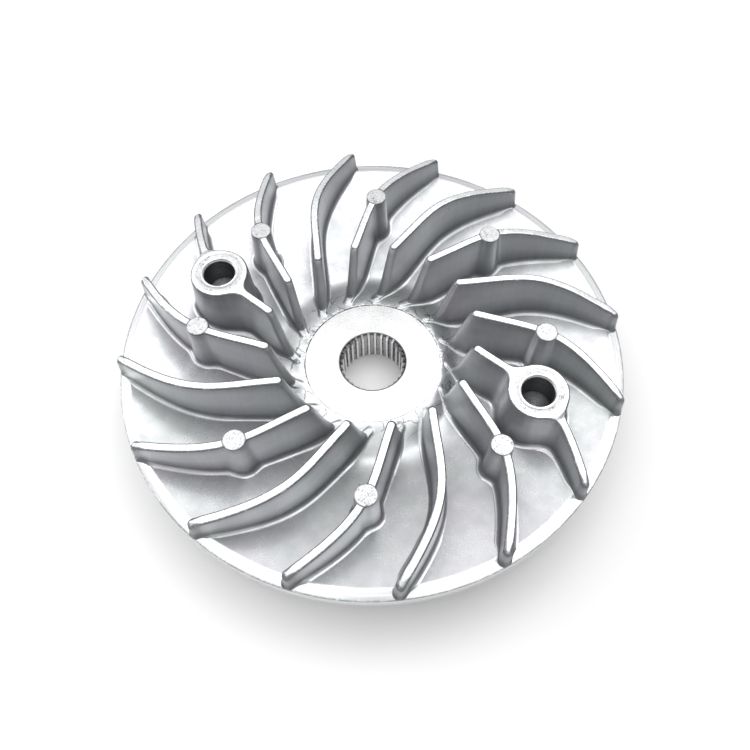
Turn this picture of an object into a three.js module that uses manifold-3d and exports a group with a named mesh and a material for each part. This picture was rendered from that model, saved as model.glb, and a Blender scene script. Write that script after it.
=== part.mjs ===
// Drive face of a scooter's belt drive: a dished pulley disc with swept cooling-fan blades.
// Millimetres, +Z up. The origin is the centre of the hub's back face, +Z points to the fan side
// and +X passes through tool boss 2. The whole part is one casting; each named feature is a solid.
import * as THREE from "three";
import { mergeVertices } from "three/addons/utils/BufferGeometryUtils.js";
import Module from "manifold-3d";

const wasm = await Module();
wasm.setup();

// Disc
const rimRadius = 60;
const rimTopZ = 16;
const rimBottomZ = 12.8;
const rimChamfer = 0.3;
const crestRadius = 57.4;
const crestZ = 16.6;
const dishRadius = 27;
const dishZ = 8.5;
const discHoleRadius = 18.6;
const discBackZ = 2.2;

// Hub
const hubRadius = 18.3;
const padRadius = 16.75;
const padZ = 10.3;
const hubSkirtZ = 8.75;
const hubBackRadius = 17;
const hubBackStep = 2;

// Splined bore
const splineTeeth = 30;
const splineMajorRadius = 8.05;
const splineMinorRadius = 7.45;
const splineLandShare = 0.3;
const splineFlankShare = 0.15;
const mouthRadius = 8.2;
const mouthDepth = 1.1;
const backMouthDepth = 0.8;
const mouthConeReach = 4;

// Fan blades
const bladeCount = 16;
const bladeStep = (2 * Math.PI) / bladeCount;
const bladeOnXAxis = 9;
const bladeThickness = 2;
const bladeTopZ = 25;
const bladeCurve = [[17.7, 7], [38.3, -0.2], [42.6, 4.6], [57.2, -16.7]];
const bladeCurveSteps = 16;
const footRadius = 19.3;
const footHeight = 1.4;
const leadRootRadius = 21.3;
const leadTopRadius = 24.6;
const topBreakRadius = 41;
const topShoulder = [50, 24.1];
const tipTop = [57.6, 22.7];
const tipCorner = [58.4, 21.9];
const tipRootRadius = 59.6;
const cornerEase = 0.4;

// Ejector columns and tool bosses, both on the same pitch circle
const columnPitchRadius = 40.5;
const columnTopRadius = 2.5;
const columnRootRadius = 2.8;
const columnTopZ = 25.05;
const bossTopRadius = 6.9;
const bossRootRadius = 7.7;
const bossTopZ = 25.1;
const bossHoleRadius = 3.7;
const bossHoleFloorZ = 18;
const bossDrillTipZ = 15.9;
const bossMouthRadius = 4.4;
const bossMouthDepth = 0.7;

// Modelling
const seatGap = 0.2;
const belowZ = -2;
const aboveZ = 30;
const discSegments = 128;
const columnSegments = 28;
const bossSegments = 40;

const castSkin = { color: 0xb9bcc0, roughness: 0.42, metalness: 0.9 };
const machinedFace = { color: 0xd6d8da, roughness: 0.28, metalness: 0.95 };

function toSolid(geometry) {
  const bare = geometry.clone();
  bare.deleteAttribute("normal");
  bare.deleteAttribute("uv");
  const welded = mergeVertices(bare, 1e-4);
  const corners = welded.index.array;
  const triangles = [];
  for (let i = 0; i < corners.length; i += 3) {
    const [a, b, c] = corners.slice(i, i + 3);
    if (a !== b && b !== c && c !== a) {
      triangles.push(a, b, c);
    }
  }
  return new wasm.Manifold(new wasm.Mesh({
    numProp: 3,
    vertProperties: Float32Array.from(welded.attributes.position.array),
    triVerts: Uint32Array.from(triangles),
  }));
}

function toMesh(name, solid, finish) {
  const cut = solid.getMesh();
  const geometry = new THREE.BufferGeometry();
  geometry.setAttribute("position", new THREE.BufferAttribute(cut.vertProperties, 3));
  geometry.setIndex(new THREE.BufferAttribute(cut.triVerts, 1));
  geometry.computeVertexNormals();
  const mesh = new THREE.Mesh(geometry, new THREE.MeshStandardMaterial(finish));
  mesh.name = name;
  return mesh;
}

// A solid of revolution about +Z from [radius, height] points; a closed outline in either direction.
function turned(outline, segments) {
  const points = outline.map(([radius, height]) => new THREE.Vector2(radius, height));
  if (THREE.ShapeUtils.area(points) < 0) {
    points.reverse();
  }
  points.push(points[0].clone());
  const geometry = new THREE.LatheGeometry(points, segments);
  geometry.rotateX(Math.PI / 2);
  return toSolid(geometry);
}

function extruded(outline, fromZ, toZ) {
  const shape = new THREE.Shape(outline);
  const geometry = new THREE.ExtrudeGeometry(shape, { depth: toZ - fromZ, bevelEnabled: false });
  geometry.translate(0, 0, fromZ);
  return toSolid(geometry);
}

function mix(from, to, share) {
  return from + (to - from) * share;
}

// Height of the fan-side floor at a radius: flat round the hub, a cone up to the crest, then the bevel.
function floorZ(radius) {
  if (radius <= dishRadius) {
    return dishZ;
  }
  if (radius <= crestRadius) {
    return mix(dishZ, crestZ, (radius - dishRadius) / (crestRadius - dishRadius));
  }
  return mix(crestZ, rimTopZ, (radius - crestRadius) / (rimRadius - crestRadius));
}

function floorPoints(fromRadius, toRadius, lift) {
  const bends = [dishRadius, crestRadius].filter((radius) => radius > fromRadius && radius < toRadius);
  return [fromRadius, ...bends, toRadius].map((radius) => [radius, floorZ(radius) + lift]);
}

function sheaveDisc() {
  return turned([
    [discHoleRadius, discBackZ],
    [rimRadius - rimChamfer, rimBottomZ],
    [rimRadius, rimBottomZ + rimChamfer],
    [rimRadius, rimTopZ - rimChamfer],
    ...floorPoints(discHoleRadius, rimRadius - rimChamfer, 0).reverse(),
  ], discSegments);
}

function splineOutline() {
  const toothAngle = (2 * Math.PI) / splineTeeth;
  const corners = [
    [splineMinorRadius, 0],
    [splineMinorRadius, splineLandShare],
    [splineMajorRadius, splineLandShare + splineFlankShare],
    [splineMajorRadius, 1 - splineFlankShare],
  ];
  const outline = [];
  for (let tooth = 0; tooth < splineTeeth; tooth += 1) {
    for (const [radius, share] of corners) {
      const angle = (tooth + share) * toothAngle;
      outline.push(new THREE.Vector2(radius * Math.cos(angle), radius * Math.sin(angle)));
    }
  }
  return outline;
}

function splinedHub() {
  const body = turned([
    [0, 0],
    [hubBackRadius - rimChamfer, 0],
    [hubBackRadius, rimChamfer],
    [hubBackRadius, hubBackStep],
    [hubRadius, hubBackStep],
    [hubRadius, hubSkirtZ],
    [padRadius, padZ],
    [0, padZ],
  ], discSegments);
  const bore = extruded(splineOutline(), belowZ, aboveZ);
  const mouth = turned([
    [0, padZ + 1],
    [mouthRadius, padZ + 1],
    [mouthRadius, padZ],
    [splineMinorRadius, padZ - mouthDepth],
    [0, padZ - mouthConeReach],
  ], discSegments);
  const backMouth = turned([
    [0, -1],
    [mouthRadius, -1],
    [mouthRadius, 0],
    [splineMinorRadius, backMouthDepth],
    [0, mouthConeReach],
  ], discSegments);
  return body.subtract(bore).subtract(mouth).subtract(backMouth);
}

// Everything under the floor, used to trim what stands on it.
function groundBelowFloor() {
  return turned([
    [0, belowZ],
    [rimRadius + 2, belowZ],
    ...floorPoints(0, rimRadius + 2, seatGap).reverse(),
  ], discSegments);
}

// The plan of one blade, its own X axis passing through the pitch circle.
function bladePlan() {
  const [start, startPull, endPull, end] = bladeCurve.map(([x, y]) => new THREE.Vector2(x, y));
  const centreLine = new THREE.CubicBezierCurve(start, startPull, endPull, end);
  const left = [];
  const right = [];
  for (let step = 0; step <= bladeCurveSteps; step += 1) {
    const share = step / bladeCurveSteps;
    const point = centreLine.getPoint(share);
    const along = centreLine.getTangent(share);
    const side = new THREE.Vector2(-along.y, along.x).multiplyScalar(bladeThickness / 2);
    left.push(point.clone().add(side));
    right.push(point.clone().sub(side));
  }
  return [...right, ...left.reverse()];
}

// The side view of a blade as a ring, from the foot at the hub to the tip at the rim.
function bladeBand(fromRadius, toRadius) {
  const foot = [
    [footRadius + cornerEase, dishZ + footHeight],
    [leadRootRadius, dishZ + footHeight],
    [leadTopRadius - cornerEase, bladeTopZ - cornerEase],
    [leadTopRadius + cornerEase, bladeTopZ],
  ];
  const tip = [[topBreakRadius, bladeTopZ], topShoulder, tipTop, tipCorner];
  const reachesHub = fromRadius < leadRootRadius;
  const reachesRim = toRadius > tipCorner[0];
  return turned([
    ...(reachesHub ? foot : [[fromRadius, bladeTopZ]]),
    ...(reachesRim ? tip : [[toRadius, bladeTopZ]]),
    ...floorPoints(fromRadius, toRadius, seatGap).reverse(),
  ], discSegments);
}

function standingColumn(outline, segments) {
  return turned(outline, segments).translate([columnPitchRadius, 0, 0]);
}

function ejectorColumn() {
  const column = standingColumn([
    [0, belowZ],
    [columnRootRadius, belowZ],
    [columnRootRadius, floorZ(columnPitchRadius)],
    [columnTopRadius, columnTopZ],
    [0, columnTopZ],
  ], columnSegments);
  return column.subtract(groundBelowFloor());
}

function bossOutline(clearance) {
  return [
    [0, belowZ],
    [bossRootRadius + clearance, belowZ],
    [bossRootRadius + clearance, floorZ(columnPitchRadius)],
    [bossTopRadius + clearance, bossTopZ],
  ];
}

function toolBoss() {
  const boss = standingColumn([
    ...bossOutline(0),
    [bossMouthRadius, bossTopZ],
    [bossHoleRadius, bossTopZ - bossMouthDepth],
    [bossHoleRadius, bossHoleFloorZ],
    [0, bossDrillTipZ],
  ], bossSegments);
  return boss.subtract(groundBelowFloor());
}

function bossClearance() {
  return standingColumn([...bossOutline(seatGap), [0, bossTopZ]], bossSegments);
}

const casting = new THREE.Group();

casting.add(toMesh("sheave_disc", sheaveDisc(), castSkin));
casting.add(toMesh("splined_hub", splinedHub(), machinedFace));

const plan = extruded(bladePlan(), belowZ, aboveZ);
const wholeBlade = plan.intersect(bladeBand(footRadius, tipRootRadius));
const bladeWithColumn = wholeBlade.add(ejectorColumn());
const innerHalf = plan.intersect(bladeBand(footRadius, columnPitchRadius)).subtract(bossClearance());
const outerHalf = plan.intersect(bladeBand(columnPitchRadius, tipRootRadius)).subtract(bossClearance());
const boss = toolBoss();
const bossBlades = [1, bladeOnXAxis];

for (let blade = 1; blade <= bladeCount; blade += 1) {
  const place = new THREE.Group();
  place.rotation.z = (bladeOnXAxis - blade) * bladeStep;
  const name = `fan_blade_${String(blade).padStart(2, "0")}`;
  if (bossBlades.includes(blade)) {
    place.add(toMesh(`${name}_inner`, innerHalf, castSkin));
    place.add(toMesh(`${name}_outer`, outerHalf, castSkin));
    place.add(toMesh(`tool_boss_${bossBlades.indexOf(blade) + 1}`, boss, castSkin));
  } else {
    place.add(toMesh(name, blade % 2 === 0 ? bladeWithColumn : wholeBlade, castSkin));
  }
  casting.add(place);
}

export default casting;
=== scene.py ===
from math import cos, pi, radians, sin

import bmesh
import bpy
import numpy as np
from mathutils import Matrix, Vector


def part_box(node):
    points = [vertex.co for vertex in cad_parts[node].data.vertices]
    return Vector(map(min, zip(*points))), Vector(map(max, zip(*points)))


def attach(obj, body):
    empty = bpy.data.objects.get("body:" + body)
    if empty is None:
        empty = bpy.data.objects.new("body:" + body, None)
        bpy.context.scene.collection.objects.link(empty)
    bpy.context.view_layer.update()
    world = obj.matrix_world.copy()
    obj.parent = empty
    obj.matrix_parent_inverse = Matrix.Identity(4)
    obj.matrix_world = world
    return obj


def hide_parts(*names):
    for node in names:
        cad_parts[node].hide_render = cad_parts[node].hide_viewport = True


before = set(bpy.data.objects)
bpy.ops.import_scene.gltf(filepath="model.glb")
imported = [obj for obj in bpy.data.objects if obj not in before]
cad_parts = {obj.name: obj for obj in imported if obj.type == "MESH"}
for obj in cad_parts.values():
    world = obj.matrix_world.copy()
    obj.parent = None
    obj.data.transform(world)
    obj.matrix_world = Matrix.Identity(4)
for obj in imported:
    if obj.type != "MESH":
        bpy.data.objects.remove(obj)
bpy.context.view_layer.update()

# Shapes are worked out in millimetres and turned into metres when a mesh is made.
MM = 0.001


def lowest(node):
    return [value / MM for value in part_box(node)[0]]


def highest(node):
    return [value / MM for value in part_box(node)[1]]


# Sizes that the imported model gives
RIM_RADIUS = highest("sheave_disc")[0]
CREST_Z = highest("sheave_disc")[2]
PAD_Z = highest("splined_hub")[2]
BLADE_TOP_Z = highest("fan_blade_05")[2]
MARK_TOP_Z = highest("fan_blade_04")[2]
BOSS_TOP_Z = highest("tool_boss_2")[2]
PITCH_RADIUS = (lowest("tool_boss_2")[0] + highest("tool_boss_2")[0]) / 2
DISC_BACK_Z = lowest("sheave_disc")[2]

# Disc
BEVEL_WIDTH = 2.6
BEVEL_DROP = 0.6
RIM_THICKNESS = 3.2
RIM_EASE = 0.22
RIM_TOP_Z = CREST_Z - BEVEL_DROP
RIM_BOTTOM_Z = RIM_TOP_Z - RIM_THICKNESS
CREST_RADIUS = RIM_RADIUS - BEVEL_WIDTH
CREST_LIP = 0.04
DISH_RADIUS = 27.0
DISH_Z = 8.5
DISH_BEND = 3.0
DISC_BACK_RADIUS = 17.3
DISC_STEPS_ROUND = 480

# Slope from the hub's pad down to the floor, and the seam round the pad
SLOPE_SHORT = 4.4
SLOPE_LONG = 10.5
SLOPE_SHORT_ANGLE = radians(12)
SLOPE_EDGE_DROP = 0.05
SEAM_ROUGH_ANGLE = radians(140)

# Hub
PAD_RADIUS = 16.75
HUB_BACK_RADIUS = 17.0
SPLINE_TEETH = 30
TOOTH_LAND_SHARE = 0.3
TOOTH_FLANK_SHARE = 0.13
TOOTH_STEPS = 24
SPLINE_MAJOR = 8.05
SPLINE_MINOR = 7.45
MOUTH_RADIUS = 8.2
MOUTH_DEPTH = 1.1
BACK_MOUTH_DEPTH = 0.8

# Fan blades
BLADE_COUNT = 16
BLADE_STEP = 2 * pi / BLADE_COUNT
BLADE_ON_X_AXIS = 9
BLADE_CURVE = np.array([(17.7, 7.0), (38.3, -0.2), (42.6, 4.6), (57.2, -16.7)])
HALF_THICKNESS = 1.0
WALL_DRAFT = 0.35
ROOT_FLARE = 1.15
TOP_EASE = 0.42
END_BLEND = 8.0
FIRST_STATION = 24.9
LAST_STATION = 57.6
RIM_CLEARANCE = 0.12
CAST_UNEVENNESS = 0.06

# Ejector marks and tool bosses
MARK_RADIUS = 2.5
NO_MARK_REACH = 9.0
BOSS_RADIUS = 6.9
BOSS_HOLE_RADIUS = 3.7
BOSS_HOLE_FLOOR_Z = 18.0
BOSS_DRILL_TIP_Z = 15.9
BOSS_MOUTH_RADIUS = 4.4
BOSS_WALL = 0.6

# Camera
VIEW_AZIMUTH = radians(23.636)
VIEW_ELEVATION = radians(60.65)


# ------------------------------------------------------------------ node trees


class Wire:
    """A socket of a node tree. Python arithmetic on it adds Math nodes."""

    def __init__(self, tree, socket=None):
        self.tree = tree
        self.socket = socket

    def node(self, kind, settings=None, values=None, output=0):
        """Adds a node: its settings first, then the values or links of its sockets."""
        made = self.tree.nodes.new(kind)
        for name, value in (settings or {}).items():
            if name == "stops":
                set_stops(made.color_ramp.elements, value)
            else:
                setattr(made, name, value)
        for key, value in (values or {}).items():
            if isinstance(value, Wire):
                self.tree.links.new(value.socket, made.inputs[key])
            else:
                made.inputs[key].default_value = value
        return Wire(self.tree, made.outputs[output])

    def math(self, operation, *values):
        return self.node("ShaderNodeMath", {"operation": operation}, dict(enumerate(values)))

    def __add__(self, other):
        return self.math("ADD", self, other)

    def __sub__(self, other):
        return self.math("SUBTRACT", self, other)

    def __rsub__(self, other):
        return self.math("SUBTRACT", other, self)

    def __mul__(self, other):
        return self.math("MULTIPLY", self, other)

    def __truediv__(self, other):
        return self.math("DIVIDE", self, other)

    def __rtruediv__(self, other):
        return self.math("DIVIDE", other, self)

    __radd__ = __add__
    __rmul__ = __mul__


def set_stops(elements, stops):
    while len(elements) < len(stops):
        elements.new(1.0)
    for element, (position, level) in zip(elements, stops):
        element.position = position
        element.color = (level, level, level, 1.0)


# ------------------------------------------------------------------ meshes


def make_mesh(name, points, faces, attributes=None):
    """A mesh object from points in millimetres, with its attributes at the points."""
    mesh = bpy.data.meshes.new(name)
    mesh.from_pydata((np.asarray(points) * MM).tolist(), [], faces)
    for label, values in (attributes or {}).items():
        layer = mesh.attributes.new(label, "FLOAT", "POINT")
        layer.data.foreach_set("value", np.asarray(values, np.float32))
    thing = bpy.data.objects.new(name, mesh)
    bpy.context.scene.collection.objects.link(thing)
    return thing


def weld(thing, distance=0.002):
    """Merges the doubles of a closed grid and turns its faces outwards."""
    work = bmesh.new()
    work.from_mesh(thing.data)
    bmesh.ops.remove_doubles(work, verts=work.verts, dist=distance * MM)
    bmesh.ops.dissolve_degenerate(work, dist=distance * MM, edges=work.edges)
    bmesh.ops.recalc_face_normals(work, faces=work.faces)
    work.to_mesh(thing.data)
    work.free()
    return thing


def shade(thing, sharp_over=38):
    thing.data.shade_smooth()
    thing.data.set_sharp_from_angle(angle=radians(sharp_over))
    return thing


def grid_faces(rings, count, closed=True):
    """Quads between successive rings, each of the same number of points."""
    faces = []
    for ring in range(rings - 1):
        low, high = ring * count, (ring + 1) * count
        for i in range(count if closed else count - 1):
            j = (i + 1) % count
            faces.append((low + i, low + j, high + j, high + i))
    return faces


def turned(name, outline, steps_round, wave=None, traits=None):
    """A solid of revolution from a closed [radius, height] outline; a wave may move its points.

    Traits are named lists with one value for each point of the outline.
    """
    angles = np.linspace(0, 2 * pi, steps_round, endpoint=False)
    rings = []
    for radius, height in [*outline, outline[0]]:
        level = np.full(steps_round, height)
        points = np.stack([radius * np.cos(angles), radius * np.sin(angles), level], 1)
        if wave is not None:
            wave(points)
        rings.append(points)
    attributes = {}
    for label, values in (traits or {}).items():
        attributes[label] = np.repeat([*values, values[0]], steps_round)
    faces = grid_faces(len(rings), steps_round)
    return shade(weld(make_mesh(name, np.concatenate(rings), faces, attributes)))


def arc(centre, radius, from_angle, to_angle, steps):
    """Points of an arc in a [radius, height] outline, angles in degrees."""
    turns = np.radians(np.linspace(from_angle, to_angle, steps))
    return [(centre[0] + radius * cos(turn), centre[1] + radius * sin(turn)) for turn in turns]


def smooth_step(low, high, value):
    share = np.clip((value - low) / (high - low), 0, 1)
    return share * share * (3 - 2 * share)


def ripple(seed, fewest, most, amount):
    """An irregular wave round a circle, made of whole numbers of swings."""
    draw = np.random.default_rng(seed)
    swings = draw.integers(fewest, most, 12)
    phase = draw.uniform(0, 2 * pi, 12)

    def size(angle):
        return amount * sum(np.sin(count * angle + start) for count, start in zip(swings, phase)) / 3.5

    return size


def swell(seed, wavelength, amount):
    """A gentle unevenness over the plan: crossed sine waves with fixed random headings."""
    draw = np.random.default_rng(seed)
    heading = draw.uniform(0, 2 * pi, 9)
    length = wavelength * draw.uniform(0.7, 1.6, 9)
    phase = draw.uniform(0, 2 * pi, 9)

    def height(points):
        total = np.zeros(len(points))
        for turn, span, start in zip(heading, length, phase):
            along = points[:, 0] * cos(turn) + points[:, 1] * sin(turn)
            total += np.sin(2 * pi * along / span + start)
        return amount * total / 3

    return height


# ------------------------------------------------------------------ Geometry Nodes


def ring_tree():
    """Repeats a piece round the shaft, joins the copies and gives the skin a cast unevenness."""
    tree = bpy.data.node_groups.new("ring_of_castings", "GeometryNodeTree")
    interface = tree.interface
    interface.new_socket("Piece", in_out="INPUT", socket_type="NodeSocketGeometry")
    for label, kind in (
        ("Count", "NodeSocketInt"),
        ("First Angle", "NodeSocketFloat"),
        ("Angle Step", "NodeSocketFloat"),
        ("Join Distance", "NodeSocketFloat"),
        ("Unevenness", "NodeSocketFloat"),
        ("Patch Size", "NodeSocketFloat"),
        ("Seed", "NodeSocketFloat"),
        ("Finish", "NodeSocketMaterial"),
    ):
        interface.new_socket(label, in_out="INPUT", socket_type=kind)
    interface.new_socket("Ring", in_out="OUTPUT", socket_type="NodeSocketGeometry")
    entry = tree.nodes.new("NodeGroupInput")
    given = {socket.name: Wire(tree, socket) for socket in entry.outputs if socket.name}
    start = Wire(tree)
    points = start.node("GeometryNodePoints", None, {"Count": given["Count"]})
    turn = start.node("GeometryNodeInputIndex") * given["Angle Step"] + given["First Angle"]
    spin = start.node("ShaderNodeCombineXYZ", None, {"Z": turn})
    copies = start.node(
        "GeometryNodeInstanceOnPoints", None,
        {"Points": points, "Instance": given["Piece"], "Rotation": spin},
    )
    joined = start.node(
        "GeometryNodeMergeByDistance", None,
        {"Geometry": start.node("GeometryNodeRealizeInstances", None, {0: copies}),
         "Distance": given["Join Distance"]},
    )
    place = start.node("GeometryNodeInputPosition")
    patches = start.node(
        "ShaderNodeTexNoise", {"noise_dimensions": "4D"},
        {"Vector": place, "W": given["Seed"], "Scale": 1 / given["Patch Size"], "Detail": 1.0},
    )
    shift = start.node(
        "ShaderNodeVectorMath", {"operation": "SCALE"},
        {0: start.node("GeometryNodeInputNormal"), "Scale": (patches - 0.5) * given["Unevenness"]},
    )
    uneven = start.node("GeometryNodeSetPosition", None, {"Geometry": joined, "Offset": shift})
    finished = start.node(
        "GeometryNodeSetMaterial", None, {"Geometry": uneven, "Material": given["Finish"]},
    )
    leave = tree.nodes.new("NodeGroupOutput")
    tree.links.new(finished.socket, leave.inputs[0])
    return tree


def ring_of(source, name, tree, finish, count, first_angle, angle_step, join=0.0, unevenness=0.0, seed=0.0):
    """Runs the ring tree on a piece, lengths in millimetres, and keeps the result as a plain mesh."""
    inputs = {
        "Count": count,
        "First Angle": first_angle,
        "Angle Step": angle_step,
        "Join Distance": join * MM,
        "Unevenness": unevenness * MM,
        "Patch Size": 9 * MM,
        "Seed": seed,
        "Finish": finish,
    }
    modifier = source.modifiers.new("grow", "NODES")
    modifier.node_group = tree
    for item in tree.interface.items_tree:
        if item.in_out == "INPUT" and item.name in inputs:
            modifier[item.identifier] = inputs[item.name]
    evaluated = source.evaluated_get(bpy.context.evaluated_depsgraph_get())
    mesh = bpy.data.meshes.new_from_object(evaluated)
    mesh.name = name
    source.modifiers.remove(modifier)
    bpy.data.objects.remove(source)
    thing = bpy.data.objects.new(name, mesh)
    bpy.context.scene.collection.objects.link(thing)
    return shade(thing)


def fit(thing, slot, *nodes):
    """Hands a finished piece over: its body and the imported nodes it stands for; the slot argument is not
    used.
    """
    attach(thing, "root")
    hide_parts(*nodes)


# ------------------------------------------------------------------ shape of the casting


def floor_z(radius):
    """Height of the fan-side floor: flat round the hub, a cone up to the crest, then the bevel."""
    slope = (CREST_Z - DISH_Z) / (CREST_RADIUS - DISH_RADIUS)
    bevel = (CREST_Z - RIM_TOP_Z) / (RIM_RADIUS - CREST_RADIUS)
    bend = np.clip((radius - DISH_RADIUS + DISH_BEND) / (2 * DISH_BEND), 0, 1)
    cone = np.where(radius > DISH_RADIUS + DISH_BEND, radius - DISH_RADIUS, DISH_BEND * bend * bend)
    height = DISH_Z + slope * cone
    return np.minimum(height, CREST_Z + CREST_LIP - bevel * (radius - CREST_RADIUS))


def slope_rise(radius, angle):
    """The slope from the floor up to the pad: short on one side of the hub, long on the other."""
    toward_short = np.clip(np.cos(angle - SLOPE_SHORT_ANGLE), 0, 1)
    reach = SLOPE_LONG - (SLOPE_LONG - SLOPE_SHORT) * toward_short**2
    return (PAD_Z - DISH_Z - SLOPE_EDGE_DROP) * smooth_step(0, reach, PAD_RADIUS + reach - radius)


def disc_casting():
    """The dished disc, its bevelled rim and the belt cone on its back."""
    inner = PAD_RADIUS
    reach = np.concatenate([
        [inner + 0.08], np.arange(inner + 0.2, 18.2, 0.15), np.arange(18.2, 23, 0.4),
        np.arange(23, 56.8, 0.8), np.arange(56.8, 59.7, 0.3), [RIM_RADIUS - RIM_EASE],
    ])
    fan_side = [(radius, float(floor_z(radius))) for radius in reach]
    edge = arc((RIM_RADIUS - RIM_EASE, fan_side[-1][1] - RIM_EASE), RIM_EASE, 75, 0, 4)
    under = arc((RIM_RADIUS - RIM_EASE, RIM_BOTTOM_Z + RIM_EASE), RIM_EASE, 0, -75, 4)
    belt_slope = (RIM_BOTTOM_Z - DISC_BACK_Z) / (RIM_RADIUS - DISC_BACK_RADIUS)
    belt_reach = np.linspace(RIM_RADIUS - 0.6, DISC_BACK_RADIUS, 24)
    belt_side = [(radius, RIM_BOTTOM_Z - belt_slope * (RIM_RADIUS - radius)) for radius in belt_reach]
    seam_wall = [(inner, DISC_BACK_Z + 0.3), (inner, DISH_Z - 0.12)]
    uneven = swell(seed=3, wavelength=26, amount=0.035)
    lip = ripple(seed=11, fewest=15, most=140, amount=0.05)
    gap = ripple(seed=12, fewest=3, most=70, amount=0.065)

    def wave(points):
        """Adds the slope, the cast unevenness and the seam, which is ragged on one side."""
        radius = np.hypot(points[:, 0], points[:, 1])
        angle = np.arctan2(points[:, 1], points[:, 0])
        on_fan_side = (points[:, 2] > floor_z(radius) - 0.1) & (radius < RIM_RADIUS - 0.5)
        near_seam = np.exp(-(((radius - inner - 0.35) / 0.22) ** 2))
        rise = slope_rise(radius, angle)
        rough_side = 0.5 + 0.5 * np.cos(angle - SEAM_ROUGH_ANGLE)
        lips = near_seam * lip(angle) * (0.3 + rough_side)
        points[:, 2] += np.where(on_fan_side, uneven(points) + lips + rise, 0)
        swing = gap(angle) * (0.1 + 1.7 * rough_side) + 0.26 * rough_side - 0.15
        swing = np.where((radius < inner + 0.1) & (points[:, 2] > DISH_Z - 0.5), swing, 0)
        points[:, :2] *= (1 + swing / radius)[:, None]

    outline = fan_side + edge + under + belt_side + seam_wall
    # How dark the rounded rim edges are painted, point by point: 1 is darkest. The line on the lower edge is
    # painted shade of the undercut; the lines on the upper edge are a plain darkening of the edge.
    edge_shade = [0] * (len(fan_side) - 2) + [0.1, 0.85] + [1, 1, 0.5, 0] + [0, 0.5, 1, 1]
    edge_shade += [0] * (len(belt_side) + len(seam_wall))
    disc = turned("disc_casting", outline, DISC_STEPS_ROUND, wave, {"edge": edge_shade})
    turned_share = []
    for vertex in disc.data.vertices:
        radius = np.hypot(vertex.co.x, vertex.co.y) / MM
        on_bevel = radius > CREST_RADIUS + 0.15
        under_floor = vertex.co.z / MM < floor_z(radius) - 0.6
        turned_share.append(float(on_bevel or under_floor))
    layer = disc.data.attributes.new("machined", "FLOAT", "POINT")
    layer.data.foreach_set("value", turned_share)
    return disc


def tooth_radius(share):
    """Radius of the splined bore over one tooth: a narrow land, then the wide groove."""
    bends = [0, TOOTH_LAND_SHARE, TOOTH_LAND_SHARE + TOOTH_FLANK_SHARE, 1 - TOOTH_FLANK_SHARE, 1]
    rise = np.interp(share, bends, [0, 0, 1, 1, 0])
    return SPLINE_MINOR + (SPLINE_MAJOR - SPLINE_MINOR) * smooth_step(0, 1, rise)


def hub_ring(ring, finish):
    """The hub: one tooth's sector of its section, repeated round the shaft."""
    share = np.linspace(0, 1, TOOTH_STEPS + 1)
    angles = share * 2 * pi / SPLINE_TEETH
    tooth = tooth_radius(share)
    rows, bores, lands, mouths = [], [], [], []

    def add_row(radius, height, bore=0.0, mouth=0.0):
        radius = np.broadcast_to(radius, tooth.shape)
        flat = np.full(len(tooth), height)
        rows.append(np.column_stack([radius * np.cos(angles), radius * np.sin(angles), flat]))
        bores.append(np.full(len(tooth), bore))
        lands.append(bore * (tooth < SPLINE_MINOR + 0.02))
        mouths.append(np.full(len(tooth), mouth))

    for height in (0, 0.15, 0.3, 0.45, 0.6, BACK_MOUTH_DEPTH):
        cone = MOUTH_RADIUS - (MOUTH_RADIUS - SPLINE_MINOR) * height / BACK_MOUTH_DEPTH
        add_row(np.maximum(tooth, cone), height, bore=1.0)
    for height in np.linspace(BACK_MOUTH_DEPTH + 1, PAD_Z - MOUTH_DEPTH, 6):
        add_row(tooth, height, bore=1.0)
    for rise in np.linspace(0, 1, 10)[1:]:
        cone = SPLINE_MINOR + (MOUTH_RADIUS - SPLINE_MINOR) * rise
        add_row(np.maximum(tooth, cone), PAD_Z - MOUTH_DEPTH + (MOUTH_DEPTH - 0.1) * rise, 1.0, rise)
    add_row(MOUTH_RADIUS + 0.06, PAD_Z - 0.03, 0.0, 1.0)
    add_row(MOUTH_RADIUS + 0.22, PAD_Z, 0.0, 1.0)
    section = [
        (MOUTH_RADIUS + 0.3, PAD_Z), (10.5, PAD_Z), (13.0, PAD_Z), (15.5, PAD_Z),
        (PAD_RADIUS - 0.1, PAD_Z), (PAD_RADIUS, PAD_Z - 0.08), (PAD_RADIUS, PAD_Z - 2),
        (PAD_RADIUS, DISC_BACK_Z),
        (HUB_BACK_RADIUS, DISC_BACK_Z - 0.2), (HUB_BACK_RADIUS, 0.3), (HUB_BACK_RADIUS - 0.1, 0.09),
        (HUB_BACK_RADIUS - 0.3, 0), (13.0, 0), (MOUTH_RADIUS + 0.2, 0), (MOUTH_RADIUS, 0),
    ]
    for radius, height in section:
        add_row(radius, height)
    # land marks the tooth lands, painted lighter as a highlight; mouth marks the chamfer at the bore's top,
    # painted darker as shade.
    attributes = {
        "bore": np.concatenate(bores),
        "land": np.concatenate(lands),
        "mouth": np.concatenate(mouths),
    }
    faces = grid_faces(len(rows), len(tooth), closed=False)
    sector = make_mesh("hub_sector", np.concatenate(rows), faces, attributes)
    join = 0.004
    step = 2 * pi / SPLINE_TEETH
    return shade(weld(ring_of(sector, "hub", ring, finish, SPLINE_TEETH, 0.0, step, join=join), join), 30)


def centre_line():
    """The blade's centre line as dense points and headings, with their distance from the shaft."""
    share = np.linspace(0, 1, 600)[:, None]
    rest = 1 - share
    start, start_pull, end_pull, end = BLADE_CURVE
    points = rest**3 * start + 3 * rest**2 * share * start_pull
    points = points + 3 * rest * share**2 * end_pull + share**3 * end
    heading = np.gradient(points, axis=0)
    heading /= np.linalg.norm(heading, axis=1)[:, None]
    return np.hypot(points[:, 0], points[:, 1]), points, heading


LINE_RADIUS, LINE_POINTS, LINE_HEADING = centre_line()


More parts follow.
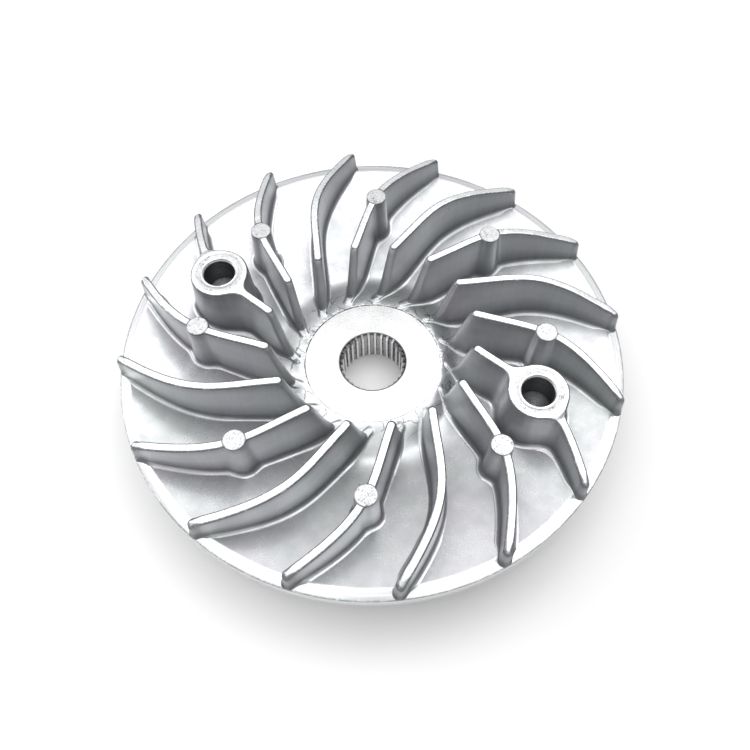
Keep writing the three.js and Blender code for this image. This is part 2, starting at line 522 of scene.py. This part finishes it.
def on_line(table, radius):
    columns = [np.interp(radius, LINE_RADIUS, table[:, axis]) for axis in (0, 1)]
    return np.stack(columns, 1)


def blade_top(radius):
    """The blades' top edge: level out to the pitch circle, then falling to the rim."""
    fall = np.array([0, 0.25, 0.95, 1.75, 2.2, 2.4, 2.65, 3.0, 3.5, 4.2])
    return np.interp(radius, [41, 45, 50, 54, 56.6, 57.6, 58.4, 59.0, 59.5, 60], BLADE_TOP_Z - fall)


def inner_reach(height):
    """How far in a blade reaches at a height over the floor: the low foot, then the leading edge."""
    return np.interp(height, [0, 0.8, 1.2, 2.2, 15.4, 16.5], [18.9, 19.4, 20.9, 21.6, 24.4, 24.9])


def outer_reach(share):
    """How far out the centre of a blade's tip is at a share of its height."""
    return 58.45 - 0.2 * share


def blade_levels():
    """Rings of a blade from the middle of its underside to the middle of its top edge.

    Each is (share of the height, flare share up, flare share out, draft and ease offset, spread).
    """
    levels = [(0, -0.06, 1.06, WALL_DRAFT, spread) for spread in (0, 0.5, 1)]
    for turn in np.radians(np.linspace(0, 90, 7)):
        levels.append((0, 1 - cos(turn), 1 - sin(turn), WALL_DRAFT, 1))
    for share in (0.3, 0.45, 0.6, 0.75, 0.88):
        levels.append((share, 0, 0, WALL_DRAFT * (1 - share), 1))
    for turn in np.radians(np.linspace(0, 90, 6)):
        levels.append((1, -TOP_EASE * (1 - sin(turn)) / ROOT_FLARE, 0, -TOP_EASE * (1 - cos(turn)), 1))
    for spread in (0.66, 0.33, 0):
        levels.append((1, 0, 0, -TOP_EASE, spread))
    return levels


def station_radii(swelling):
    """Distances from the shaft at which a blade is measured, closer together at its swelling."""
    if not swelling:
        return np.linspace(FIRST_STATION, LAST_STATION, 45)
    low, high = PITCH_RADIUS - swelling - 2.2, PITCH_RADIUS + swelling + 2.2
    return np.concatenate([
        np.linspace(FIRST_STATION, low, 16, endpoint=False),
        np.linspace(low, high, int((high - low) / 0.2), endpoint=False),
        np.linspace(high, LAST_STATION, 20),
    ])


def blade_casting(name, swelling=0.0, swelling_draft=0.0, blend_root=1.4, blend_top=0.5):
    """A fan blade standing on the floor, with a round swelling on the pitch circle if it has one."""
    nominal = station_radii(swelling)
    near_hub = np.clip(1 - (nominal - FIRST_STATION) / END_BLEND, 0, 1)
    near_rim = np.clip(1 - (LAST_STATION - nominal) / END_BLEND, 0, 1)
    fan = np.radians(np.linspace(0, 180, 15))[1:-1]
    inner_height = BLADE_TOP_Z - DISH_Z
    rings = []
    traits = {"tip": [], "edge": [], "rise": [], "skim": [], "mark_reach": []}
    for share, up, out, offset, spread in blade_levels():
        at_top = share == 1
        reach_in = inner_reach(share * inner_height + up * ROOT_FLARE)
        radii = nominal + (reach_in - FIRST_STATION) * near_hub
        radii = radii + (outer_reach(share) - LAST_STATION) * near_rim
        start = on_line(LINE_POINTS, radii)
        ahead = on_line(LINE_HEADING, radii)
        right = np.stack([ahead[:, 1], -ahead[:, 0]], 1)
        tip = [right[-1] * cos(turn) + ahead[-1] * sin(turn) for turn in fan]
        nose = [-right[0] * cos(turn) - ahead[0] * sin(turn) for turn in fan]
        origin = np.concatenate([start, [start[-1]] * len(fan), start[::-1], [start[0]] * len(fan)])
        toward = np.concatenate([right, tip, -right[::-1], nose])
        station = np.concatenate([radii, [radii[-1]] * len(fan), radii[::-1], [radii[0]] * len(fan)])
        half = HALF_THICKNESS * (0.5 + 0.5 * smooth_step(19.2, 22.5, station))
        flare = ROOT_FLARE * (0.5 + 0.5 * smooth_step(20.0, 24.0, station))
        round_off = 1 + 0.9 * smooth_step(56.5, 58.2, station) if at_top else 1
        foot_flare = flare * (1 - 0.75 * smooth_step(55.5, 57.8, station))
        level = offset * round_off + out * foot_flare
        width = half + level
        if swelling:
            round_radius = swelling + swelling_draft * (1 - share)
            blend = blend_root + (blend_top - blend_root) * share
            width = swollen_width(origin, toward, half, level, round_radius, blend)
        plan = origin + toward * (width * spread)[:, None]
        distance = np.hypot(plan[:, 0], plan[:, 1])
        trim = np.minimum(1, (RIM_RADIUS - RIM_CLEARANCE) / distance)
        plan = plan * trim[:, None]
        distance = distance * trim
        top = blade_top(distance)
        away = np.hypot(plan[:, 0] - PITCH_RADIUS, plan[:, 1])
        if swelling:
            level_top = BLADE_TOP_Z + 0.02
            top = top + (level_top - top) * (1 - smooth_step(swelling - 0.2, swelling + 1.2, away))
        ground = floor_z(distance)
        lift = flare * round_off if at_top else foot_flare
        height = ground + share * (top - ground) + up * lift
        rings.append(np.column_stack([plan, height]))
        foot_of_tip = share == 0 and out > 0.25
        eased = at_top and spread == 1 and -0.9 * TOP_EASE < offset < -0.02 * TOP_EASE
        every = np.ones(len(plan))
        # Painted shade: the tip ends are darkened, their foot most; the top edge is left alone.
        traits["tip"].append(smooth_step(57.0, 58.4, distance) * (1.3 if foot_of_tip else float(not at_top)))
        traits["edge"].append(every * eased)
        traits["rise"].append(np.clip((height - ground) / (top - ground), 0, 1))
        traits["skim"].append(every * (at_top and up > -0.03))
        traits["mark_reach"].append(away if swelling == MARK_RADIUS else every * NO_MARK_REACH)
    attributes = {label: np.concatenate(values) for label, values in traits.items()}
    faces = grid_faces(len(rings), len(rings[0]))
    return weld(make_mesh(name, np.concatenate(rings), faces, attributes))


def swollen_width(origin, toward, half, level, round_radius, blend):
    """Where each ray leaves the blade joined to the round swelling, found by halving."""
    centre = np.array([PITCH_RADIUS, 0.0])
    low = np.zeros(len(origin))
    high = np.full(len(origin), round_radius + 12.0)
    for _ in range(36):
        middle = (low + high) / 2
        at = origin + toward * middle[:, None]
        to_blade = middle - half
        to_round = np.linalg.norm(at - centre, axis=1) - round_radius
        share = np.clip(blend - np.abs(to_blade - to_round), 0, None) / blend
        distance = np.minimum(to_blade, to_round) - share * share * blend / 4
        outside = distance > level
        high = np.where(outside, middle, high)
        low = np.where(outside, low, middle)
    return low


def hollowed(thing):
    """Opens the boss from its top, to take its finished bore."""
    depth = BOSS_TOP_Z - BOSS_DRILL_TIP_Z
    bpy.ops.mesh.primitive_cylinder_add(
        vertices=64, radius=(BOSS_HOLE_RADIUS + BOSS_WALL / 2) * MM, depth=2 * depth * MM,
        location=(PITCH_RADIUS * MM, 0, BOSS_TOP_Z * MM),
    )
    cutter = bpy.context.object
    cut = thing.modifiers.new("hole", "BOOLEAN")
    cut.operation = "DIFFERENCE"
    cut.solver = "EXACT"
    cut.object = cutter
    evaluated = thing.evaluated_get(bpy.context.evaluated_depsgraph_get())
    mesh = bpy.data.meshes.new_from_object(evaluated)
    thing.modifiers.remove(cut)
    thing.data = mesh
    bpy.data.objects.remove(cutter)
    return thing


def boss_bores(ring, finish):
    """The bosses' blind holes: skimmed face, eased mouth, bored wall and the drill's point."""
    hole, mouth, top = BOSS_HOLE_RADIUS, BOSS_MOUTH_RADIUS, MARK_TOP_Z
    wall, under = hole + BOSS_WALL, BOSS_DRILL_TIP_Z - 0.4
    # Each point is (radius, height, how dark it is painted): the bored wall and the drill's point are
    # painted shade of the hole, and a thin dark line rings the mouth.
    outline = [
        (0, BOSS_DRILL_TIP_Z, 1), (1.2, BOSS_DRILL_TIP_Z + 0.72, 0.75),
        (hole - 0.1, BOSS_HOLE_FLOOR_Z - 0.05, 1), (hole, BOSS_HOLE_FLOOR_Z + 0.15, 1),
        (hole, top - 2.0, 1), (hole, top - 0.72, 1), (hole + 0.05, top - 0.56, 0.7),
        (hole + 0.16, top - 0.42, 0.25), (hole + 0.26, top - 0.34, 0), (mouth - 0.14, top - 0.1, 0),
        (mouth - 0.07, top - 0.07, 1), (mouth, top - 0.05, 1), (mouth + 0.07, top, 0), (5.4, top, 0),
        (6.2, BLADE_TOP_Z - 0.01, 0), (6.2, BLADE_TOP_Z - 0.1, 0), (wall, BLADE_TOP_Z - BOSS_WALL, 0),
        (wall, under, 0), (0, under, 0),
    ]
    section = [point[:2] for point in outline]
    painted_bore_shade = [point[2] for point in outline]
    bore = turned("boss_bore", section, 72, traits={"hole": painted_bore_shade})
    bore.data.transform(Matrix.Translation((PITCH_RADIUS * MM, 0, 0)))
    return ring_of(bore, "boss_bores", ring, finish, 2, 0.0, pi)


def mark_pads(ring, finish):
    """The ejector marks: crisp round pads, each standing a little proud; their shallow groove is only
    painted, as a ring of shade on the blade top.
    """
    outline = [
        (0, BLADE_TOP_Z - 0.5), (MARK_RADIUS - 0.05, BLADE_TOP_Z - 0.5),
        (MARK_RADIUS - 0.03, MARK_TOP_Z - 0.05), (MARK_RADIUS - 0.12, MARK_TOP_Z),
        (MARK_RADIUS - 0.26, MARK_TOP_Z), (0, MARK_TOP_Z),
    ]
    # The pad's side and edge are painted dark, as shade in its groove.
    pad = turned("mark_pad", outline, 48, traits={"hole": [0, 1, 1, 0.8, 0, 0]})
    pad.data.transform(Matrix.Translation((PITCH_RADIUS * MM, 0, 0)))
    return ring_of(pad, "ejector_mark_pads", ring, finish, BLADE_COUNT // 2, BLADE_STEP, 2 * BLADE_STEP)


# ------------------------------------------------------------------ finishes


def new_metal(name):
    """A material whose shader is bare metal, the shader itself and a wire to start its nodes from."""
    material = bpy.data.materials.new(name)
    material.use_nodes = True
    tree = material.node_tree
    shader = tree.nodes["Principled BSDF"]
    shader.inputs["Metallic"].default_value = 1
    return material, shader, Wire(tree)


def feed(shader, label, wire):
    wire.tree.links.new(wire.socket, shader.inputs[label])


def surface_noise(start, place, size, detail=2.0, harshness=0.5):
    """Noise whose patches are about a given number of millimetres across."""
    values = {"Vector": place, "Scale": 1 / (size * MM), "Detail": detail, "Roughness": harshness}
    return start.node("ShaderNodeTexNoise", None, values)


def ramp(start, value, *stops):
    return start.node("ShaderNodeValToRGB", {"stops": stops}, {"Fac": value})


def between(start, factor, dark, bright):
    """A colour between two, by a factor from 0 to 1."""
    return start.node(
        "ShaderNodeMix", {"data_type": "RGBA"},
        {"Factor": factor, 6: (*dark, 1), 7: (*bright, 1)}, output=2,
    )


def bumped(shader, start, height, distance):
    """Feeds a height from 0 to 1, worth a number of millimetres, to the shader's normal."""
    bump = start.node("ShaderNodeBump", None, {"Height": height, "Distance": distance * MM})
    feed(shader, "Normal", bump)


def attribute(start, name):
    """A value that the mesh carries at its points."""
    return start.node("ShaderNodeAttribute", {"attribute_name": name}, output=2)


def coordinates(start):
    """Object coordinates as one vector and as its X, Y and Z."""
    place = start.node("ShaderNodeTexCoord", output=3)
    parts = [
        start.node("ShaderNodeSeparateXYZ", None, {"Vector": place}, output=axis) for axis in range(3)
    ]
    return place, *parts


def hypotenuse(start, one, other):
    return start.math("SQRT", one * one + other * other)


def turning_rings(start, reach, depth, size):
    """Fine rings that a turning tool leaves, from the distance to its axis and the depth."""
    section = start.node("ShaderNodeCombineXYZ", None, {"X": reach, "Y": depth})
    return surface_noise(start, section, size, 2, 0.6)


def pits(start, place, spacing, size):
    """Sparse round pinholes: 1 in a hole and 0 elsewhere."""
    cells = start.node("ShaderNodeTexVoronoi", None, {"Vector": place, "Scale": 1 / (spacing * MM)})
    reach = size / spacing
    return ramp(start, cells, (reach * 0.6, 1.0), (reach, 0.0))


def flash_cracks(start, place, reach):
    """Fine broken cracks in the skin of the slope round the hub: 1 in a crack and 0 elsewhere."""
    widest = 30.0
    ring = [(16.89, 0.0), (17.1, 1.0), (20.4, 1.0), (23.1, 0.0)]
    on_slope = ramp(start, reach / (widest * MM), *[(radius / widest, level) for radius, level in ring])
    wander = 2 * MM
    noise = start.node(
        "ShaderNodeTexNoise", None, {"Vector": place, "Scale": 1 / wander, "Detail": 3.0}, output=1,
    )
    bent = start.node(
        "ShaderNodeVectorMath", {"operation": "MULTIPLY_ADD"}, {0: noise, 1: (wander,) * 3, 2: place},
    )
    cells = start.node(
        "ShaderNodeTexVoronoi", {"feature": "DISTANCE_TO_EDGE"}, {"Vector": bent, "Scale": 240.0},
    )
    lines = ramp(start, cells, (0.012, 1.0), (0.03, 0.0))
    kept = ramp(start, surface_noise(start, place, 4, 2, 0.5), (0.47, 0.0), (0.53, 1.0))
    return lines * kept * on_slope


def cast_skin():
    """Die-cast aluminium: satin and mottled, with draw marks on walls and bright skimmed tops."""
    material, shader, start = new_metal("cast_aluminium")
    shader.inputs["Metallic"].default_value = 0.82
    place, x, y, z = coordinates(start)
    reach = hypotenuse(start, x, y)
    rise, skim, tip = attribute(start, "rise"), attribute(start, "skim"), attribute(start, "tip")
    edge, machined = attribute(start, "edge"), attribute(start, "machined")
    from_mark = start.math("ABSOLUTE", attribute(start, "mark_reach") - MARK_RADIUS - 0.02)

    broad = surface_noise(start, place, 13, 4, 0.55)
    soft = surface_noise(start, place, 5, 1.5, 0.5)
    flow = surface_noise(start, place, 3.2, 4, 0.6)
    grain = surface_noise(start, place, 0.5, 2, 0.6)
    drawn_out = start.node("ShaderNodeMapping", None, {"Vector": place, "Scale": (1, 1, 0.08)})
    draw_marks = surface_noise(start, drawn_out, 0.9, 3, 0.6)

    on_wall = ramp(start, rise, (0.0, 0.0), (0.12, 1.0))
    # Painted shade: the walls are darkened near the floor and in a band just under the top edge.
    foot = ramp(start, rise, (0.0, 0.0), (0.1, 1.0), (0.5, 0.0))
    shoulder_shade = ramp(start, rise, (0.78, 0.0), (0.94, 1.0), (1.0, 0.6)) * (1 - skim)
    # Painted shade: a dark ring on the blade top round each ejector pad, standing in for its shallow groove.
    groove = ramp(start, from_mark, (0.1, 1.0), (0.2, 0.0)) * skim
    holes = pits(start, place, 9, 0.28)
    cracks = flash_cracks(start, place, reach) * (1 - on_wall) * (1 - machined)
    broken = ramp(start, flow * 0.5 + grain * 0.5, (0.36, 0.25), (0.52, 1.0))
    mottle = ramp(start, broad * 0.65 + flow * 0.35, (0.38, 0.0), (0.62, 1.0))
    dull = mottle * 0.3 * (1 - machined) + (flow - 0.5) * 0.5 + (grain - 0.5) * 0.3
    dull = dull * (1 - machined * 0.7)
    rings = turning_rings(start, reach, z, 0.35) - 0.5

    bright = 0.49 + on_wall * 0.06 + skim * 0.23 + machined * (0.3 + rings * 0.4)
    bright = bright - dull * (0.33 - skim * 0.15)
    bright = bright + (draw_marks - 0.5) * on_wall * 0.18 + (flow * 0.6 + broad * 0.4 - 0.48) * on_wall * 0.6
    # Painted shade: the blades' tip ends, the foot of the walls, the band under their top edge and the rim's
    # lower edge line are darkened here; the other edge lines are a plain darkening.
    bright = bright - edge * broken * 0.65 - tip * 0.33 - foot * 0.34 - shoulder_shade * 0.16
    bright = bright - groove * 0.8 - holes * 0.25 - cracks * 0.5
    skin = between(start, bright, (0.155, 0.159, 0.167), (0.86, 0.865, 0.875))
    patches = ramp(start, surface_noise(start, place, 11, 2, 0.5), (0.4, 0.0), (0.6, 1.0))
    tint = between(start, patches, (0.985, 0.975, 1.0), (0.975, 1.0, 0.99))
    feed(shader, "Base Color", start.node(
        "ShaderNodeMix", {"data_type": "RGBA", "blend_type": "MULTIPLY"},
        {"Factor": 1.0, 6: skin, 7: tint}, output=2,
    ))
    rough = 0.27 + dull * 0.12 + on_wall * 0.1 + (draw_marks - 0.5) * on_wall * 0.25 - skim * 0.12
    feed(shader, "Roughness", rough)
    relief = soft * 0.35 + grain * (0.01 + on_wall * 0.07) + draw_marks * on_wall * 0.25 - holes * 0.2
    bumped(shader, start, relief, 0.05)
    return material


def mark_face():
    """The grainy, specked face of the ejector marks and boss tops, and the turned boss holes, which are
    painted dark as shade, like the marks' sides.
    """
    material, shader, start = new_metal("ejector_mark_face")
    place, x, y, z = coordinates(start)
    hole = attribute(start, "hole")
    from_axis = hypotenuse(start, start.math("ABSOLUTE", x) - PITCH_RADIUS * MM, y)
    turning = turning_rings(start, from_axis, z, 0.3)
    grain = surface_noise(start, place, 0.42, 3, 0.7)
    cloud = surface_noise(start, place, 2.2, 2, 0.5)
    specks = ramp(start, grain * 0.75 + cloud * 0.25, (0.34, 1.0), (0.45, 0.0))
    bright = 0.57 + (grain - 0.5) * 0.6 - specks * 0.5
    # Painted shade: darkens the boss holes and the sides and edges of the ejector pads, where 'hole' is set.
    bright = bright * (1 - hole * 0.8) + (turning - 0.42) * hole * 0.6
    feed(shader, "Base Color", between(start, bright, (0.1, 0.102, 0.106), (0.735, 0.74, 0.75)))
    feed(shader, "Roughness", 0.46 + specks * 0.1 - hole * 0.04)
    bumped(shader, start, grain * (1 - hole) + turning * hole * 1.5, 0.03)
    return material


def machined_face():
    """Turned aluminium: bright, with fine rings round the shaft and a little open grain."""
    material, shader, start = new_metal("machined_aluminium")
    place, x, y, z = coordinates(start)
    bore, land, mouth = attribute(start, "bore"), attribute(start, "land"), attribute(start, "mouth")
    turning = turning_rings(start, hypotenuse(start, x, y), z, 0.35)
    grain = surface_noise(start, place, 0.45, 3, 0.7)
    cloud = surface_noise(start, place, 5, 3, 0.6)
    # Painted highlight on the tooth lands and painted shade on the bore's mouth.
    bright = 0.39 + (grain - 0.5) * 0.24 + (cloud - 0.5) * 0.2 + bore * 0.02 + land * 0.75 - mouth * 0.7
    feed(shader, "Base Color", between(start, bright, (0.12, 0.122, 0.125), (0.95, 0.95, 0.955)))
    feed(shader, "Roughness", 0.26 + (cloud - 0.5) * 0.1 + (grain - 0.5) * 0.15 - land * 0.14)
    bumped(shader, start, turning * 0.3 + grain * 0.5, 0.012)
    return material


# ------------------------------------------------------------------ the object


def blade_ring(source, name, ring, finish, first_blade, blade_gap, count, seed):
    """Copies of one blade round the shaft from a numbered blade on, their feet on the slope."""
    first_angle = (BLADE_ON_X_AXIS - first_blade) * BLADE_STEP
    blades = ring_of(
        source, name, ring, finish, count, first_angle, -blade_gap * BLADE_STEP,
        unevenness=CAST_UNEVENNESS, seed=seed,
    )
    for vertex in blades.data.vertices:
        x, y, z = vertex.co / MM
        lift = slope_rise(np.hypot(x, y), np.arctan2(y, x))
        vertex.co.z += MM * lift * np.clip((BLADE_TOP_Z - z) / (BLADE_TOP_Z - DISH_Z), 0, 1)
    return shade(blades)


def blade_nodes(*blades):
    return [f"fan_blade_{blade:02d}" for blade in blades]


def make_object():
    ring = ring_tree()
    cast = cast_skin()
    grainy = mark_face()

    disc = disc_casting()
    disc.data.materials.append(cast)
    fit(disc, "casting", "sheave_disc")
    fit(hub_ring(ring, machined_face()), "machined", "splined_hub")

    far_blades = blade_ring(blade_casting("blade"), "plain_blades_far", ring, cast, 3, 2, 3, 1.0)
    fit(far_blades, "casting", *blade_nodes(3, 5, 7))
    near_blades = blade_ring(blade_casting("blade"), "plain_blades_near", ring, cast, 11, 2, 3, 2.0)
    fit(near_blades, "casting", *blade_nodes(11, 13, 15))
    marked = blade_casting("marked_blade", swelling=MARK_RADIUS, swelling_draft=0.25)
    marked_blades = blade_ring(marked, "marked_blades", ring, cast, 2, 2, 8, 3.0)
    fit(marked_blades, "casting", *blade_nodes(2, 4, 6, 8, 10, 12, 14, 16))
    bossed = hollowed(blade_casting("bossed_blade", BOSS_RADIUS, 0.5, blend_root=4.0, blend_top=3.0))
    bossed_blades = blade_ring(bossed, "bossed_blades", ring, cast, 1, 8, 2, 4.0)
    halves = [f"{blade}_{half}" for blade in blade_nodes(1, 9) for half in ("inner", "outer")]
    fit(bossed_blades, "casting", *halves, "tool_boss_1", "tool_boss_2")
    for added in (mark_pads(ring, grainy), boss_bores(ring, grainy)):
        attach(added, "root")


# ------------------------------------------------------------------ stage, light and camera


def make_stage():
    bpy.ops.mesh.primitive_plane_add(size=6)
    table = bpy.context.object
    table.name = "table"
    material = bpy.data.materials.new("table_white")
    material.use_nodes = True
    shader = material.node_tree.nodes["Principled BSDF"]
    shader.inputs["Base Color"].default_value = (0.69, 0.69, 0.69, 1)
    shader.inputs["Roughness"].default_value = 0.6
    shader.inputs["Emission Color"].default_value = (1, 1, 1, 1)
    shader.inputs["Emission Strength"].default_value = 0.01
    table.data.materials.append(material)


def area_light(name, place, aim, size, strength):
    data = bpy.data.lights.new(name, "AREA")
    data.shape = "RECTANGLE"
    data.size, data.size_y = size
    data.energy = strength
    lamp = bpy.data.objects.new(name, data)
    lamp.location = place
    lamp.rotation_euler = (Vector(aim) - Vector(place)).to_track_quat("-Z", "Y").to_euler()
    bpy.context.scene.collection.objects.link(lamp)


def from_view(right, away, up):
    """A point given by its distance to the right of, away from and above the camera's own heading."""
    return (
        right * cos(VIEW_AZIMUTH) - away * sin(VIEW_AZIMUTH),
        right * sin(VIEW_AZIMUTH) + away * cos(VIEW_AZIMUTH),
        up,
    )


def make_camera():
    data = bpy.data.cameras.new("camera")
    data.lens = 36.31
    data.shift_x = -0.0143
    data.shift_y = -0.0027
    camera = bpy.data.objects.new("camera", data)
    # The place is in rim radii from the centre of the rim's top.
    rim = RIM_RADIUS * MM
    camera.location = from_view(0.0539 * rim, -1.576 * rim, 2.6063 * rim + RIM_TOP_Z * MM)
    heading = Vector(from_view(0, cos(VIEW_ELEVATION), -sin(VIEW_ELEVATION)))
    camera.rotation_euler = heading.to_track_quat("-Z", "Y").to_euler()
    bpy.context.scene.collection.objects.link(camera)
    bpy.context.scene.camera = camera


def make_lights():
    """Soft panels side by side over the table, and a low one to the left."""
    panel_width, panel_height = 0.47, 0.5
    for name, side, away, depth, strength in (
        ("far_right_panel", 1, 0.215, 0.38, 1.6),
        ("far_left_panel", -1, 0.215, 0.38, 1.25),
        ("near_right_panel", 1, -0.105, 0.26, 0.66),
        ("near_left_panel", -1, -0.105, 0.26, 0.52),
        ("left_fringe", -1, 0.47, 0.21, 0.14),
    ):
        right = side * panel_width / 2
        place, aim = from_view(right, away, panel_height), from_view(right, away, 0)
        area_light(name, place, aim, (panel_width, depth), strength)
    area_light("side_panel", from_view(-0.6, 0.1, 0.22), from_view(0, 0, 0), (0.5, 0.25), 2.0)


def make_world():
    """A dim room: light beyond the object, and a light patch straight behind the camera."""
    world = bpy.data.worlds.new("studio")
    world.use_nodes = True
    tree = world.node_tree
    start = Wire(tree)
    heading = start.node("ShaderNodeTexCoord")
    away = start.node(
        "ShaderNodeVectorMath", {"operation": "DOT_PRODUCT"},
        {0: heading, 1: from_view(0, 1, 0)}, output=1,
    )
    height = start.node("ShaderNodeSeparateXYZ", None, {"Vector": heading}, output=2)
    beyond = ramp(start, away * 0.5 + 0.5, (0.35, 0.0), (0.8, 1.0))
    low = ramp(start, height, (0.15, 1.0), (0.55, 0.0))
    high = ramp(start, height, (0.3, 0.0), (0.5, 1.0))
    higher = ramp(start, height, (0.62, 0.0), (0.85, 1.0))
    middle = ramp(start, height, (0.3, 0.0), (0.4, 1.0), (0.56, 1.0), (0.66, 0.0))
    facing = ramp(start, 0.5 - away * 0.5, (0.66, 0.0), (0.76, 1.0))
    level = beyond * (0.42 + high * 0.22 + higher * 0.24 + middle * 0.34)
    level = level + (1 - beyond) * (0.22 + low * 0.2) + facing * 0.86
    background = tree.nodes["Background"]
    tree.links.new(level.socket, background.inputs["Color"])
    bpy.context.scene.world = world


make_object()
make_stage()
make_camera()
make_lights()
make_world()
bpy.context.scene.view_settings.view_transform = "Standard"
